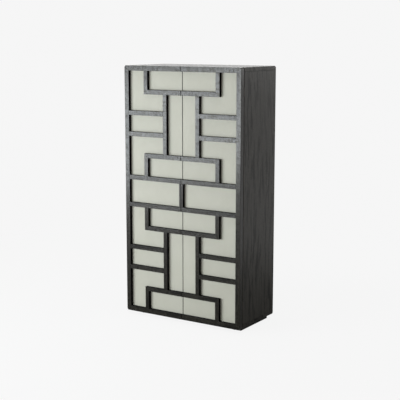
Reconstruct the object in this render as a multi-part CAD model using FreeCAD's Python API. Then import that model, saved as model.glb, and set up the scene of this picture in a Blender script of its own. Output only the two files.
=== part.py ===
import FreeCAD, Part
import os

from FreeCAD import Vector

# Two-door book cabinet with open lattice doors, in millimetres.
# X runs along the front, Y runs from the doors to the back and Z is up.
# The origin is on the floor, under the centre of the cabinet's outline.

# Overall sizes
overall_width = 1000.0
body_height = 1860.0
carcass_depth = 450.0
corner_radius = 16.0
outline_chamfer = 2.5

# Carcass boards
board_thickness = 30.0
side_thickness = 25.0
shelf_thickness = 25.0
shelves_per_half = 2
shelf_setback = 20.0
shelf_clearance = 1.0
shelf_arris = 1.5
back_thickness = 6.0
back_setback = 12.0
groove_depth = 8.0
groove_clearance = 0.1
groove_end_gap = 0.5

# Loose tongues between the side panels and the top and bottom boards
tongue_thickness = 8.0
tongue_depth = 14.0
tongue_stop = 30.0
tongue_clearance = 0.1
tongue_end_gap = 0.5

# Stopped housings that the middle shelf's ends stand in
housing_depth = 8.0
housing_stop = 12.0
housing_clearance = 0.1
housing_end_gap = 0.5

# Cleats that the lift-out shelves rest on
cleat_height = 22.0
cleat_thickness = 14.0
cleat_front_inset = 30.0
cleat_nose_radius = 12.0

# Plinth
plinth_board_height = 27.0
plinth_board_thickness = 20.0
plinth_inset = 33.0
plinth_block_leg = 45.0
glide_height = 3.0
glide_radius = 8.0
glide_end_inset = 60.0

# Doors
door_thickness = 40.0
meeting_gap = 3.0
lattice_depth = 24.0
frame_width = 38.0
bar_width = 33.0
meeting_bar_width = 15.0
wide_window = 136.0
band_window = 172.0
bar_arris = 1.0
front_chamfer = 1.5
rebate_width = 16.0
panel_clearance = 0.3

# Joints between the door's bars
tenon_length = 10.0
tenon_thickness = 8.0
tenon_width_share = 0.6
tenon_clearance = 0.1
mortise_end_gap = 0.5
mitre_tenon_cover = 6.0

# Hinges
hinge_length = 64.0
leaf_thickness = 1.6
leaf_gap = 0.8
door_leaf_margin = 0.5
side_leaf_depth = 38.0
barrel_clearance = 0.38
barrel_wall = 1.35
barrel_cap = 2.0
hinge_pin_clearance = 0.05
hinge_pin_end_gap = 0.5
knuckle_clearance = 0.2
knuckle_notch_clearance = 0.4

# Push latches
latch_offset = 28.0
latch_width = 18.0
latch_height = 16.0
latch_length = 70.0
latch_setback = 2.0
latch_wall = 5.0
plunger_radius = 4.0
plunger_clearance = 0.1
magnet_thickness = 3.0
magnet_gap = 0.3
strike_size = 24.0
strike_thickness = 1.2
spring_length = 24.0
spring_wire = 0.8
spring_clearance = 0.8
spring_end_gap = 0.1

# How far a cutting solid runs past the face that it cuts
overrun = 5.0
# Two places nearer than this are the same place
near = 0.001

# Places that follow from the sizes
door_gap = 2 * leaf_thickness + leaf_gap
half_width = overall_width / 2
total_depth = door_thickness + door_gap + carcass_depth
door_front = -total_depth / 2
door_back = door_front + door_thickness
panel_front = door_front + lattice_depth
carcass_front = door_back + door_gap
carcass_back = total_depth / 2
body_bottom = plinth_board_height + glide_height
body_top = body_bottom + body_height
body_middle = (body_bottom + body_top) / 2
floor_top = body_bottom + board_thickness
ceiling = body_top - board_thickness
side_inner = half_width - side_thickness
back_face = carcass_back - back_setback - back_thickness
middle_shelf_span = (body_middle - shelf_thickness / 2, body_middle + shelf_thickness / 2)

# Left door: the hinge side is at the low X, the meeting edge is near the centre
meeting_edge = -meeting_gap / 2
stile_inner = -half_width + frame_width
hanging_span = (stile_inner + wide_window, stile_inner + wide_window + bar_width)
long_span = (hanging_span[1] + wide_window, hanging_span[1] + wide_window + bar_width)
bottom_rail_span = (body_bottom, body_bottom + frame_width)
top_rail_span = (body_top - frame_width, body_top)
lower_band_span = (body_middle - band_window / 2 - bar_width, body_middle - band_window / 2)
upper_band_span = (body_middle + band_window / 2, body_middle + band_window / 2 + bar_width)
tenon_middle = door_front + lattice_depth / 2

# Hinge axis: half way across the gap, in the plane of the cabinet's side.
# The barrel fills the groove that the two chamfered outlines leave round the axis.
axis_x = -half_width
axis_y = door_back + door_gap / 2
barrel_radius = (outline_chamfer + door_gap / 2) / 2**0.5 - barrel_clearance
hinge_pin_radius = barrel_radius - barrel_wall - hinge_pin_clearance


def block(x_span, y_span, z_span):
    """A rectangular solid between a low and a high value on each axis."""
    corner = Vector(x_span[0], y_span[0], z_span[0])
    size_x = x_span[1] - x_span[0]
    size_y = y_span[1] - y_span[0]
    size_z = z_span[1] - z_span[0]
    return Part.makeBox(size_x, size_y, size_z, corner)


def prism(points, run):
    """A solid with the polygon through the points as its base, extruded by the vector run."""
    outline = Part.makePolygon(points + [points[0]])
    return Part.Face(outline).extrude(run)


def rod(start, direction, radius, length):
    """A round rod from a point, along a direction."""
    return Part.makeCylinder(radius, length, start, direction)


def across(centre, size):
    """The low and high ends of a size centred on a value."""
    return (centre - size / 2, centre + size / 2)


def midpoint(span):
    """The value half way between the two ends of a span."""
    return (span[0] + span[1]) / 2


def mirrored(solid):
    """The same solid on the other side of the cabinet."""
    return solid.mirror(Vector(0, 0, 0), Vector(1, 0, 0))


def both_sides(solid):
    """A solid and its mirror image, in one list."""
    return [solid, mirrored(solid)]


def rounded_outline(x_span, y_span, rounded_x, chamfers):
    """The body's rounded outline, extruded in depth.

    rounded_x lists the sides whose corners are rounded. chamfers pairs a depth with
    the chamfer that eases the outline there, except along a side that isn't rounded.
    """
    body = block(x_span, y_span, (body_bottom, body_top))
    corners = []
    for edge in body.Edges:
        low, high = edge.Vertexes[0].Point, edge.Vertexes[1].Point
        if abs(low.y - high.y) > near and any(abs(low.x - x) < near for x in rounded_x):
            corners.append(edge)
    body = body.makeFillet(corner_radius, corners)
    for depth, size in chamfers:
        rim = []
        for edge in body.Edges:
            ends = [vertex.Point for vertex in edge.Vertexes]
            in_plane = all(abs(end.y - depth) < near for end in ends)
            upright = all(abs(end.x - ends[0].x) < near for end in ends)
            on_rounded_side = any(abs(ends[0].x - x) < near for x in rounded_x)
            if in_plane and (on_rounded_side or not upright):
                rim.append(edge)
        body = body.makeChamfer(size, rim)
    return body


# Places of the shelves and of the bays between them

def half_shelf_spans(low, high):
    """The lift-out shelves' heights between two fixed boards, evenly spaced."""
    bay = (high - low - shelves_per_half * shelf_thickness) / (shelves_per_half + 1)
    spans = []
    for index in range(shelves_per_half):
        start = low + (index + 1) * bay + index * shelf_thickness
        spans.append((start, start + shelf_thickness))
    return spans


def lift_out_shelf_spans():
    """The heights of all lift-out shelves, from the lowest up."""
    lower = half_shelf_spans(floor_top, middle_shelf_span[0])
    upper = half_shelf_spans(middle_shelf_span[1], ceiling)
    return lower + upper


def hinge_heights():
    """The hinges' centres: the end bays and the bays beside the middle shelf."""
    lower = half_shelf_spans(floor_top, middle_shelf_span[0])
    upper = half_shelf_spans(middle_shelf_span[1], ceiling)
    return [
        (floor_top + lower[0][0]) / 2,
        (lower[-1][1] + middle_shelf_span[0]) / 2,
        (middle_shelf_span[1] + upper[0][0]) / 2,
        (upper[-1][1] + ceiling) / 2,
    ]


# Carcass

def corner_tongue(joint, clearance, end_gap):
    """The loose tongue in the left side panel's end at a joint's height, or its groove."""
    width = tongue_thickness + 2 * clearance
    depth = (carcass_front + tongue_stop - end_gap, back_face - tongue_stop + end_gap)
    height = 2 * (tongue_depth + end_gap)
    middle = -half_width + side_thickness / 2
    return block(across(middle, width), depth, across(joint, height))


def corner_tongues(clearance, end_gap):
    """Both tongues of the left side panel, or with the gaps their grooves."""
    return [corner_tongue(joint, clearance, end_gap) for joint in (floor_top, ceiling)]


def shelf_housing():
    """The stopped housing in the left side panel's inner face for the middle shelf's end."""
    low, high = middle_shelf_span
    return block(
        (-side_inner - housing_depth - housing_end_gap, -side_inner + overrun),
        (carcass_front + housing_stop - housing_end_gap, back_face),
        (low - housing_clearance, high + housing_clearance),
    )


def back_groove():
    """The space of the back panel and its grooves, cut out of the boards around it."""
    reach = groove_depth
    depth = (back_face - groove_clearance, back_face + back_thickness + groove_clearance)
    width = (-side_inner - reach, side_inner + reach)
    return block(width, depth, (floor_top - reach, ceiling + reach))


def back_panel():
    """The thin back panel, which stands in grooves of the four boards round it."""
    reach = groove_depth - groove_end_gap
    depth = (back_face, back_face + back_thickness)
    width = (-side_inner - reach, side_inner + reach)
    return block(width, depth, (floor_top - reach, ceiling + reach))


def carcass_outline():
    """The carcass's rounded outline, with its front edges chamfered."""
    return rounded_outline(
        (-half_width, half_width),
        (carcass_front, carcass_back),
        (-half_width, half_width),
        [(carcass_front, outline_chamfer)],
    )


def side_panel():
    """The left side panel, grooved for the back panel and the tongues, with the shelf's housing."""
    board = block((-half_width, -side_inner), (carcass_front, carcass_back), (floor_top, ceiling))
    cuts = [back_groove(), shelf_housing()] + corner_tongues(tongue_clearance, tongue_end_gap)
    return board.common(carcass_outline()).cut(Part.makeCompound(cuts))


def end_board(z_span):
    """The top or bottom board, whose ends round off the body's outline."""
    board = block((-half_width, half_width), (carcass_front, carcass_back), z_span)
    cuts = [back_groove()]
    for groove in corner_tongues(tongue_clearance, tongue_end_gap):
        cuts += both_sides(groove)
    return board.common(carcass_outline()).cut(Part.makeCompound(cuts))


def eased_shelf(x_span, y_span, z_span):
    """A shelf board whose long front edges are eased."""
    board = block(x_span, y_span, z_span)
    front_edges = []
    for edge in board.Edges:
        low, high = edge.Vertexes[0].Point, edge.Vertexes[1].Point
        if abs(low.z - high.z) < near and max(low.y, high.y) < y_span[0] + near:
            front_edges.append(edge)
    return board.makeChamfer(shelf_arris, front_edges)


def middle_shelf():
    """The fixed shelf, flush with the carcass's front, with its ends in the housings."""
    reach = side_inner + housing_depth
    housed = block((-reach, reach), (carcass_front + housing_stop, back_face), middle_shelf_span)
    front = eased_shelf((-side_inner, side_inner), (carcass_front, back_face), middle_shelf_span)
    return housed.fuse(front).removeSplitter()


def lift_out_shelf(z_span):
    """A loose shelf, with a little play at its ends and its back."""
    width = (-side_inner + shelf_clearance, side_inner - shelf_clearance)
    depth = (carcass_front + shelf_setback, back_face - shelf_clearance)
    return eased_shelf(width, depth, z_span)


def shelf_cleat(top):
    """A cleat on the left side panel, with a rounded nose, that carries a shelf's end."""
    front = carcass_front + shelf_setback + cleat_front_inset
    back = back_face - shelf_clearance
    bottom = top - cleat_height
    radius = cleat_nose_radius
    quarter = radius * (1 - 0.5**0.5)

    def at(y, z):
        return Vector(-side_inner, y, z)

    nose_top = at(front, bottom + radius)
    nose_middle = at(front + quarter, bottom + quarter)
    nose_end = at(front + radius, bottom)
    nose = Part.Arc(nose_top, nose_middle, nose_end).toShape()
    rest = Part.makePolygon([nose_end, at(back, bottom), at(back, top), at(front, top), nose_top])
    profile = Part.Wire([nose] + rest.Edges)
    return Part.Face(profile).extrude(Vector(cleat_thickness, 0, 0))


def carcass_nodes():
    """The boards, tongues, shelves and cleats of the carcass."""
    side = side_panel()
    spans = lift_out_shelf_spans()
    cleats = [shelf_cleat(span[0]) for span in spans]
    nodes = {
        "top_board": [end_board((ceiling, body_top))],
        "bottom_board": [end_board((body_bottom, floor_top))],
        "left_side_panel": [side],
        "right_side_panel": [mirrored(side)],
        "back_panel": [back_panel()],
        "middle_shelf": [middle_shelf()],
        "carcass_tongues": [],
        "left_shelf_cleats": cleats,
        "right_shelf_cleats": [mirrored(cleat) for cleat in cleats],
    }
    for number, span in enumerate(spans, start=1):
        nodes["lift_out_shelf_" + str(number)] = [lift_out_shelf(span)]
    for tongue in corner_tongues(0, 0):
        nodes["carcass_tongues"] += both_sides(tongue)
    return nodes


# Plinth

plinth_x = half_width - plinth_inset
plinth_front = carcass_front + plinth_inset
plinth_back = carcass_back - plinth_inset


def plinth_board(start, end, inward):
    """A plinth board along the outer line from start to end, mitred at both ends."""
    along = (end - start).normalize()
    inner_start = start + (inward + along) * plinth_board_thickness
    inner_end = end + (inward - along) * plinth_board_thickness
    rise = Vector(0, 0, plinth_board_height)
    return prism([start, end, inner_end, inner_start], rise)


def plinth_block(x_sign, y, y_sign):
    """A triangular block that stiffens one corner inside the plinth."""
    corner = Vector(
        x_sign * (plinth_x - plinth_board_thickness),
        y + y_sign * plinth_board_thickness,
        glide_height,
    )
    along_x = Vector(-x_sign * plinth_block_leg, 0, 0)
    along_y = Vector(0, y_sign * plinth_block_leg, 0)
    rise = Vector(0, 0, plinth_board_height)
    return prism([corner, corner + along_x, corner + along_y], rise)


def glides():
    """The glides: two under the front board of the plinth and two under the back one."""
    found = []
    for y in (plinth_front + plinth_board_thickness / 2, plinth_back - plinth_board_thickness / 2):
        glide_start = Vector(-plinth_x + glide_end_inset, y, 0)
        found += both_sides(rod(glide_start, Vector(0, 0, 1), glide_radius, glide_height))
    return found


def plinth_nodes():
    """The recessed plinth and the glides that it stands on."""
    front_left = Vector(-plinth_x, plinth_front, glide_height)
    front_right = Vector(plinth_x, plinth_front, glide_height)
    back_left = Vector(-plinth_x, plinth_back, glide_height)
    back_right = Vector(plinth_x, plinth_back, glide_height)
    blocks = []
    for x_sign in (-1, 1):
        blocks.append(plinth_block(x_sign, plinth_front, 1))
        blocks.append(plinth_block(x_sign, plinth_back, -1))
    return {
        "plinth_front_board": [plinth_board(front_left, front_right, Vector(0, 1, 0))],
        "plinth_back_board": [plinth_board(back_left, back_right, Vector(0, -1, 0))],
        "plinth_left_board": [plinth_board(front_left, back_left, Vector(1, 0, 0))],
        "plinth_right_board": [plinth_board(front_right, back_right, Vector(-1, 0, 0))],
        "plinth_corner_blocks": blocks,
        "floor_glides": glides(),
    }


# Doors

class Bar:
    """One straight piece of the left door's lattice, seen from the front.

    x and z are its spans, upright says which way it runs, and solid is its shape.
    """

    def __init__(self, x, z, upright, solid=None):
        self.x = x
        self.z = z
        self.upright = upright
        self.solid = solid or lattice_bar(x, z, upright)


def lattice_bar(x, z, upright):
    """A bar that lies on the panel, with its two long front edges eased."""
    low, high = x if upright else z
    section = [
        (low, panel_front),
        (high, panel_front),
        (high, door_front + bar_arris),
        (high - bar_arris, door_front),
        (low + bar_arris, door_front),
        (low, door_front + bar_arris),
    ]
    if upright:
        points = [Vector(place, depth, z[0]) for place, depth in section]
        return prism(points, Vector(0, 0, z[1] - z[0]))
    points = [Vector(x[0], depth, place) for place, depth in section]
    return prism(points, Vector(x[1] - x[0], 0, 0))


def window_flare():
    """The wedge that eases the inner front edges of the stile and the two rails."""
    wires = []
    for depth, growth in ((door_front, bar_arris), (door_front + bar_arris, 0)):
        left = stile_inner - growth
        right = meeting_edge + overrun
        low = bottom_rail_span[1] - growth
        high = top_rail_span[0] + growth
        corners = [(left, low), (right, low), (right, high), (left, high), (left, low)]
        wires.append(Part.makePolygon([Vector(x, depth, z) for x, z in corners]))
    return Part.makeLoft(wires, True, True)


def panel_space(clearance, past):
    """The panel's room in the rebates, or without clearance and run past, the panel."""
    left = stile_inner - rebate_width
    low = bottom_rail_span[1] - rebate_width
    high = top_rail_span[0] + rebate_width
    return block(
        (left - clearance, meeting_edge + past),
        (panel_front, door_back + past),
        (low - clearance, high + clearance),
    )


def frame_bar(x, z, upright, outline):
    """The hinge stile or a rail: as thick as the door, and rebated for the panel."""
    solid = block(x, (door_front, door_back), z).common(outline)
    solid = solid.cut(Part.makeCompound([window_flare(), panel_space(panel_clearance, overrun)]))
    return Bar(x, z, upright, solid)


def tee_box(ending, through, clearance, end_gap):
    """The stub tenon of a bar that ends against another, or with the gaps its mortise."""
    depth = across(tenon_middle, tenon_thickness + 2 * clearance)
    run = ending.z if ending.upright else ending.x
    wall = through.z if ending.upright else through.x
    side = ending.x if ending.upright else ending.z
    width = tenon_width_share * (side[1] - side[0]) + 2 * clearance
    reach = tenon_length + end_gap
    if wall[0] > midpoint(run):
        length = (run[1] - overrun, run[1] + reach)
    else:
        length = (run[0] - reach, run[0] + overrun)
    sideways = across(midpoint(side), width)
    if ending.upright:
        return block(sideways, depth, length)
    return block(length, depth, sideways)


def join_tee(ending, through):
    """Tenons the end of one bar into the side of another."""
    through.solid = through.solid.cut(tee_box(ending, through, tenon_clearance, mortise_end_gap))
    ending.solid = ending.solid.fuse(tee_box(ending, through, 0, 0)).removeSplitter()


def mitre_wedge(outer, inner, x_far, z_far):
    """The triangle beyond a mitre, which one of the two bars gives up."""
    step_x = overrun if inner[0] > outer[0] else -overrun
    step_z = overrun if inner[1] > outer[1] else -overrun
    start = Vector(outer[0] - step_x, door_front - overrun, outer[1] - step_z)
    end = Vector(inner[0] + step_x, door_front - overrun, inner[1] + step_z)
    corner = Vector(end.x if x_far else start.x, start.y, end.z if z_far else start.z)
    return prism([start, end, corner], Vector(0, door_thickness + 2 * overrun, 0))


def join_mitre(level, standing):
    """Mitres two bars at the left end of the level one, with a tenon inside the corner."""
    rises = abs(standing.z[0] - level.z[0]) < near
    outer = (level.x[0], level.z[0] if rises else level.z[1])
    inner = (standing.x[1], level.z[1] if rises else level.z[0])
    width = tenon_width_share * (level.z[1] - level.z[0])
    boxes = []
    for clearance, end_gap in ((0, 0), (tenon_clearance, mortise_end_gap)):
        boxes.append(
            block(
                (outer[0] + mitre_tenon_cover - end_gap, inner[0]),
                across(tenon_middle, tenon_thickness + 2 * clearance),
                across(midpoint(level.z), width + 2 * clearance),
            )
        )
    level.solid = level.solid.cut(mitre_wedge(outer, inner, False, True))
    level.solid = level.solid.fuse(boxes[0]).removeSplitter()
    standing.solid = standing.solid.cut(mitre_wedge(outer, inner, True, False)).cut(boxes[1])


class LatticeHalf:
    """The bars of one half of the left door, between two rails."""

    def __init__(self, low_rail, high_rail, stile):
        low, high = low_rail.z[1], high_rail.z[0]
        foot = (low + wide_window, low + wide_window + bar_width)
        head = (high - wide_window - bar_width, high - wide_window)
        narrow_window = (head[0] - foot[1] - 2 * bar_width) / 3
        low_side = (foot[1] + narrow_window, foot[1] + narrow_window + bar_width)
        high_side = (head[0] - narrow_window - bar_width, head[0] - narrow_window)
        level_x = (hanging_span[0], meeting_edge)
        side_x = (stile_inner, long_span[0])
        self.foot_upright = Bar(hanging_span, (low, foot[1]), True)
        self.head_upright = Bar(hanging_span, (head[0], high), True)
        self.foot_bar = Bar(level_x, foot, False)
        self.head_bar = Bar(level_x, head, False)
        self.long_upright = Bar(long_span, (foot[1], head[0]), True)
        self.side_bars = [Bar(side_x, low_side, False), Bar(side_x, high_side, False)]
        self.join(low_rail, high_rail, stile)

    def join(self, low_rail, high_rail, stile):
        """Cuts every joint of this half."""
        join_mitre(self.foot_bar, self.foot_upright)
        join_mitre(self.head_bar, self.head_upright)
        join_tee(self.foot_upright, low_rail)
        join_tee(self.head_upright, high_rail)
        join_tee(self.long_upright, self.foot_bar)
        join_tee(self.long_upright, self.head_bar)
        for bar in self.side_bars:
            join_tee(bar, stile)
            join_tee(bar, self.long_upright)


def left_door_nodes():
    """The panel and the lattice of the left door."""
    outline = rounded_outline(
        (-half_width, meeting_edge),
        (door_front, door_back),
        (-half_width,),
        [(door_front, front_chamfer), (door_back, outline_chamfer)],
    )
    rail_x = (-half_width, meeting_edge)
    band_x = (stile_inner, meeting_edge)
    stile = frame_bar((-half_width, stile_inner), (body_bottom, body_top), True, outline)
    bottom_rail = frame_bar(rail_x, bottom_rail_span, False, outline)
    top_rail = frame_bar(rail_x, top_rail_span, False, outline)
    lower_band = Bar(band_x, lower_band_span, False)
    upper_band = Bar(band_x, upper_band_span, False)
    meeting_x = (meeting_edge - meeting_bar_width, meeting_edge)
    meeting_bar = Bar(meeting_x, (lower_band_span[1], upper_band_span[0]), True)
    join_mitre(bottom_rail, stile)
    join_mitre(top_rail, stile)
    join_tee(lower_band, stile)
    join_tee(upper_band, stile)
    join_tee(meeting_bar, lower_band)
    join_tee(meeting_bar, upper_band)
    halves = [
        LatticeHalf(bottom_rail, lower_band, stile),
        LatticeHalf(upper_band, top_rail, stile),
    ]
    nodes = {
        "panel": [panel_space(0, 0)],
        "hinge_stile": [stile.solid],
        "bottom_rail": [bottom_rail.solid],
        "top_rail": [top_rail.solid],
        "lower_band_rail": [lower_band.solid],
        "upper_band_rail": [upper_band.solid],
        "meeting_bar": [meeting_bar.solid],
        "lower_long_upright": [halves[0].long_upright.solid],
        "upper_long_upright": [halves[1].long_upright.solid],
        "short_uprights": [],
        "cross_bars": [],
        "side_bars": [],
    }
    for half in halves:
        nodes["short_uprights"] += [half.foot_upright.solid, half.head_upright.solid]
        nodes["cross_bars"] += [half.foot_bar.solid, half.head_bar.solid]
        nodes["side_bars"] += [bar.solid for bar in half.side_bars]
    return nodes


# Hinges

def knuckle_spans(height):
    """The two knuckles' heights: the side panel's below and the door's above."""
    low, high = across(height, hinge_length)
    return (low, height - knuckle_clearance / 2), (height + knuckle_clearance / 2, high)


def with_knuckle(leaf, own_span, other_span, bore_span):
    """Adds a leaf's own knuckle, bored for the pin, and notches it for the other leaf's."""
    reach = barrel_radius + knuckle_notch_clearance
    grown = (other_span[0] - knuckle_clearance, other_span[1] + knuckle_clearance)
    notch = block((axis_x - reach, axis_x + reach), across(axis_y, 2 * reach), grown)
    up = Vector(0, 0, 1)
    start = Vector(axis_x, axis_y, own_span[0])
    knuckle = rod(start, up, barrel_radius, own_span[1] - own_span[0])
    bore_start = Vector(axis_x, axis_y, bore_span[0])
    bore_radius = hinge_pin_radius + hinge_pin_clearance
    bore = rod(bore_start, up, bore_radius, bore_span[1] - bore_span[0])
    return leaf.cut(notch).fuse(knuckle).removeSplitter().cut(bore)


def door_leaf(height):
    """The leaf on the back of the left door's hinge stile, with the upper knuckle."""
    side_span, door_span = knuckle_spans(height)
    edge = stile_inner - rebate_width - door_leaf_margin
    plate = block(
        (axis_x, edge),
        (door_back, door_back + leaf_thickness),
        across(height, hinge_length),
    )
    bore_span = (door_span[0] - overrun, door_span[1] - barrel_cap)
    return with_knuckle(plate, door_span, side_span, bore_span)


def side_leaf(height):
    """The leaf that wraps round the left side panel's front edge, with the lower knuckle."""
    side_span, door_span = knuckle_spans(height)
    front = carcass_front - leaf_thickness
    z_span = across(height, hinge_length)
    plate = block((axis_x, -side_inner + leaf_thickness), (front, carcass_front), z_span)
    flange = block(
        (-side_inner, -side_inner + leaf_thickness),
        (front, carcass_front + side_leaf_depth),
        z_span,
    )
    bore_span = (side_span[0] - overrun, side_span[1] + overrun)
    wrapped = plate.fuse(flange).removeSplitter()
    return with_knuckle(wrapped, side_span, door_span, bore_span)


def hinge_pin(height):
    """The pin that stands in the lower knuckle and that the door's knuckle turns on."""
    low, high = across(height, hinge_length)
    length = high - barrel_cap - hinge_pin_end_gap - low
    return rod(Vector(axis_x, axis_y, low), Vector(0, 0, 1), hinge_pin_radius, length)


def hinge_nodes():
    """The leaves and pins of the left door's hinges."""
    heights = hinge_heights()
    return {
        "hinge_door_leaves": [door_leaf(height) for height in heights],
        "hinge_side_leaves": [side_leaf(height) for height in heights],
        "hinge_pins": [hinge_pin(height) for height in heights],
    }


# Push latches

latch_height_middle = middle_shelf_span[0] - latch_height / 2
latch_front = carcass_front + latch_setback
magnet_front = door_back + strike_thickness + magnet_gap
plunger_front = magnet_front + magnet_thickness
bore_back = latch_front + latch_length - latch_wall
spring_span = (bore_back - spring_end_gap - spring_length, bore_back - spring_end_gap)
plunger_back = spring_span[0] - spring_end_gap
spring_radius = plunger_radius - spring_clearance


def latch_rod(radius, y_span):
    """A round part on the left latch's line of travel."""
    start = Vector(-latch_offset, y_span[0], latch_height_middle)
    return rod(start, Vector(0, 1, 0), radius, y_span[1] - y_span[0])


def latch_housing():
    """The latch's body, screwed under the middle shelf, with the plunger's blind bore."""
    case = block(
        across(-latch_offset, latch_width),
        (latch_front, latch_front + latch_length),
        across(latch_height_middle, latch_height),
    )
    return case.cut(latch_rod(plunger_radius + plunger_clearance, (latch_front - overrun, bore_back)))


def latch_spring():
    """The coil spring behind the plunger, sealed in, as a sleeve of the coil's size."""
    past = (spring_span[0] - overrun, spring_span[1] + overrun)
    return latch_rod(spring_radius, spring_span).cut(latch_rod(spring_radius - spring_wire, past))


def strike_plate():
    """The steel plate on the left door's back that the latch's magnet holds."""
    return block(
        across(-latch_offset, strike_size),
        (door_back, door_back + strike_thickness),
        across(latch_height_middle, strike_size),
    )


def latch_nodes():
    """The left door's push latch and its strike plate."""
    return {
        "latch_housing": [latch_housing()],
        "latch_spring": [latch_spring()],
        "latch_plunger": [latch_rod(plunger_radius, (plunger_front, plunger_back))],
        "latch_magnet": [latch_rod(plunger_radius, (magnet_front, plunger_front))],
        "door_strike_plate": [strike_plate()],
    }


def side_named(nodes, prefix):
    """The nodes of the left side and their mirror images, named for their side."""
    named = {}
    for name, solids in nodes.items():
        named["left_" + prefix + name] = solids
        named["right_" + prefix + name] = [mirrored(solid) for solid in solids]
    return named


def cabinet_nodes():
    """Every node of the cabinet with its solids."""
    nodes = {}
    nodes.update(carcass_nodes())
    nodes.update(plinth_nodes())
    nodes.update(side_named(left_door_nodes(), "door_"))
    nodes.update(side_named(hinge_nodes(), ""))
    nodes.update(side_named(latch_nodes(), ""))
    return nodes


os.makedirs("parts", exist_ok=True)
for node, solids in cabinet_nodes().items():
    shape = solids[0] if len(solids) == 1 else Part.makeCompound(solids)
    shape.exportStep("parts/" + node + ".step")
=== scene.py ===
"""The looks of a tall two-door book cabinet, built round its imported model.

Lengths are in metres, in the cabinet's frame: X runs to the right along the front,
Y from the doors to the back and Z up from the floor.
"""

import logging
import math
from collections.abc import Sequence
from dataclasses import dataclass, field
from enum import Enum
from functools import cached_property

import bmesh
import bpy
from mathutils import Matrix, Vector


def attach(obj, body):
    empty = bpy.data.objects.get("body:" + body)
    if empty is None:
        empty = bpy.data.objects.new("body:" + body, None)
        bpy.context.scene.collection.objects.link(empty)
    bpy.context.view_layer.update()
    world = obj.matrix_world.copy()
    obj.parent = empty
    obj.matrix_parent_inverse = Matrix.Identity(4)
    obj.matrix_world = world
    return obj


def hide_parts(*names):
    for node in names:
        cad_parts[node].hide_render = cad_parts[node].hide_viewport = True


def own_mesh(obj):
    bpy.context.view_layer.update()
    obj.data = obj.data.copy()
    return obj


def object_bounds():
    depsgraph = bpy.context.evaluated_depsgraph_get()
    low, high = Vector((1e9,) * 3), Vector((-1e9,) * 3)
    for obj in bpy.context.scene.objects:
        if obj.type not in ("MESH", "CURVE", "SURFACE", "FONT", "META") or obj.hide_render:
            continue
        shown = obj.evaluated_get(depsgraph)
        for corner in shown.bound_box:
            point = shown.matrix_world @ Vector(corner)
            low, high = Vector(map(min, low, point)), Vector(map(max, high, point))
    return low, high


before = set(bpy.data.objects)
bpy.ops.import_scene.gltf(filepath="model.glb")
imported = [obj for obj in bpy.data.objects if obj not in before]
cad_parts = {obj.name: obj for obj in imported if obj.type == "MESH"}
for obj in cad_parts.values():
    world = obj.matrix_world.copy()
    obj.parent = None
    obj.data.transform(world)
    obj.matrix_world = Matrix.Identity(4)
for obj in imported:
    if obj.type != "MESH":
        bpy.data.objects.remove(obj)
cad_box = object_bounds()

log = logging.getLogger("book_cabinet")

Rgb = tuple[float, float, float]
Place = tuple[float, float, float]
Span = tuple[float, float]
Shape = bmesh.types.BMesh
Material = bpy.types.Material
Socket = bpy.types.NodeSocket
Value = float | Sequence[float] | Socket
Axes = dict[str, Socket]

MEAN_NOISE = 0.5
SMOOTH_BELOW = math.radians(35.0)
LEVEL_ABOVE = 0.999


class Side(Enum):
    """The two sides of the cabinet, seen from the front."""

    LEFT = "left"
    RIGHT = "right"

    @property
    def sign(self) -> int:
        """Which way this side lies along X."""
        return -1 if self is Side.LEFT else 1


class Cut(Enum):
    """How a board lies: its width, its thickness and its grain, as axes."""

    STANDING_FRONT = "XYZ"
    LEVEL_FRONT = "ZYX"
    STANDING_SIDE = "YXZ"
    LEVEL_TOP = "YZX"
    DEEP_SIDE = "ZXY"


class Lot(Enum):
    """The first number in each lot of boards. A board's number picks its figure."""

    CARCASS = 1
    SHELVES = 11
    CLEATS = 21
    TONGUES = 31
    PLINTH = 41
    BLOCKS = 46
    LEFT_DOOR = 51
    RIGHT_DOOR = 71


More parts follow.
